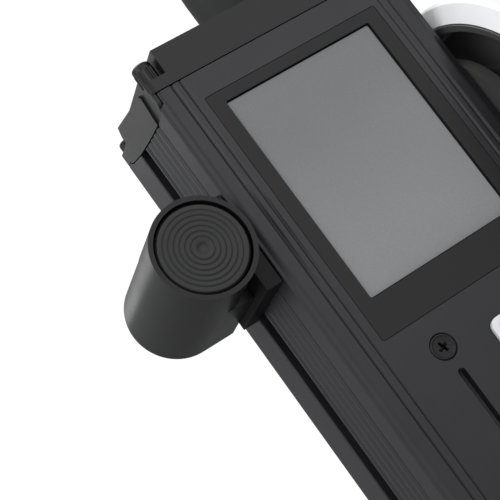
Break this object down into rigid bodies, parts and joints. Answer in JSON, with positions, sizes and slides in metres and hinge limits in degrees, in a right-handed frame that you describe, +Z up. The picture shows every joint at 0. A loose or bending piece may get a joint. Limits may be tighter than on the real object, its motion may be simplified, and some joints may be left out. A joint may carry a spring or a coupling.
{
  "type": "hand controller",
  "caption": "Handheld wireless controller: black extruded casing with display, slide fader, menu keys, large handwheel with marking ring, thumb dial and stub antenna.",
  "frame": {"origin": "middle of the bottom cap's flat underside, on which the controller stands", "axes": "+Z up the casing towards the antenna, -Y out of the front with the display, +X to the right towards the handwheel"},
  "size_m": [0.14, 0.099, 0.252],
  "materials": {
    "anodised_casing": "black anodised, fine matte",
    "satin_casting": "satin black",
    "rubber_seal": "matte",
    "bezel_plastic": "fine matte",
    "display_glass": "smooth, grey when off",
    "display_film": "matte",
    "circuit_board": "solder mask",
    "plain_steel": "brushed",
    "inner_plastic": "matte",
    "cap_plastic": "satin",
    "black_screw": "black oxide",
    "white_ring": "satin white",
    "grip_rubber": "matte",
    "dial_face": "satin, turned rings",
    "bracket_black": "satin black",
    "antenna_rubber": "matte",
    "white_key": "satin white"
  },
  "bodies": {
    "casing": {"antenna": "antenna_rubber", "antenna_base": "bracket_black", "battery_pack": "inner_plastic", "body_extrusion": "anodised_casing", "bottom_cap": "satin_casting", "bottom_cap_screw_1": "black_screw", "bottom_cap_screw_2": "black_screw", "bottom_cap_screw_3": "black_screw", "bottom_cap_screw_4": "black_screw", "bottom_seal": "rubber_seal", "bracket_nut": "plain_steel", "bracket_screw_lower": "plain_steel", "bracket_screw_upper": "plain_steel", "dial_bracket": "bracket_black", "dial_encoder": "inner_plastic", "dial_housing": "satin_casting", "display_bezel": "bezel_plastic", "display_connector": "inner_plastic", "display_glass": "display_glass", "display_module": "display_film", "fader_body": "plain_steel", "fader_screw_lower": "black_screw", "fader_screw_upper": "black_screw", "key_board": "circuit_board", "key_mat": "rubber_seal", "main_board": "circuit_board", "port_insert": "inner_plastic", "port_shell": "plain_steel", "radio_module": "plain_steel", "switch_frame": "bezel_plastic", "top_cap": "satin_casting", "top_cap_screw_1": "black_screw", "top_cap_screw_2": "black_screw", "top_cap_screw_3": "black_screw", "top_cap_screw_4": "black_screw", "top_seal": "rubber_seal", "wheel_bearing": "plain_steel", "wheel_boss": "satin_casting", "wheel_encoder": "inner_plastic"},
    "focus_wheel": {"wheel_shaft": "plain_steel", "wheel_hub": "satin_casting", "marking_ring": "white_ring", "wheel_grip": "grip_rubber", "wheel_cover": "satin_casting", "wheel_bolt": "black_screw"},
    "fader": {"fader_carriage": "inner_plastic", "fader_cap": "cap_plastic"},
    "dial_press": {"dial_spindle": "plain_steel"},
    "dial_turn": {"thumb_dial": "dial_face"},
    "power_rocker": {"power_switch": "bezel_plastic"},
    "key_1": {"menu_key_1": "white_key"},
    "key_2": {"menu_key_2": "white_key"},
    "key_3": {"menu_key_3": "white_key"},
    "key_4": {"menu_key_4": "white_key"}
  },
  "joints": [
    {"name": "focus_wheel_turn", "type": "hinge", "parent": "casing", "child": "focus_wheel", "pos_m": [0.05, 0, 0.1301], "axis": [1, 0, 0], "range_deg": [-150, 150]},
    {"name": "fader_slide", "type": "slide", "parent": "casing", "child": "fader", "axis": [0, 0, 1], "range_m": [-0.03, 0.03]},
    {"name": "dial_push", "type": "slide", "parent": "casing", "child": "dial_press", "axis": [0, 1, 0], "range_m": [0, 0.001], "stiffness_N_per_m": 600},
    {"name": "dial_spin", "type": "hinge", "parent": "dial_press", "child": "dial_turn", "pos_m": [-0.05, -0.022, 0.1511], "axis": [0, 1, 0], "continuous": true},
    {"name": "power_rock", "type": "hinge", "parent": "casing", "child": "power_rocker", "pos_m": [-0.0175, 0, 0.1945], "axis": [1, 0, 0], "range_deg": [-7, 7]},
    {"name": "key_1_press", "type": "slide", "parent": "casing", "child": "key_1", "axis": [0, 1, 0], "range_m": [0, 0.0008], "stiffness_N_per_m": 500},
    {"name": "key_2_press", "type": "slide", "parent": "casing", "child": "key_2", "axis": [0, 1, 0], "range_m": [0, 0.0008], "stiffness_N_per_m": 500},
    {"name": "key_3_press", "type": "slide", "parent": "casing", "child": "key_3", "axis": [0, 1, 0], "range_m": [0, 0.0008], "stiffness_N_per_m": 500},
    {"name": "key_4_press", "type": "slide", "parent": "casing", "child": "key_4", "axis": [0, 1, 0], "range_m": [0, 0.0008], "stiffness_N_per_m": 500}
  ]
}
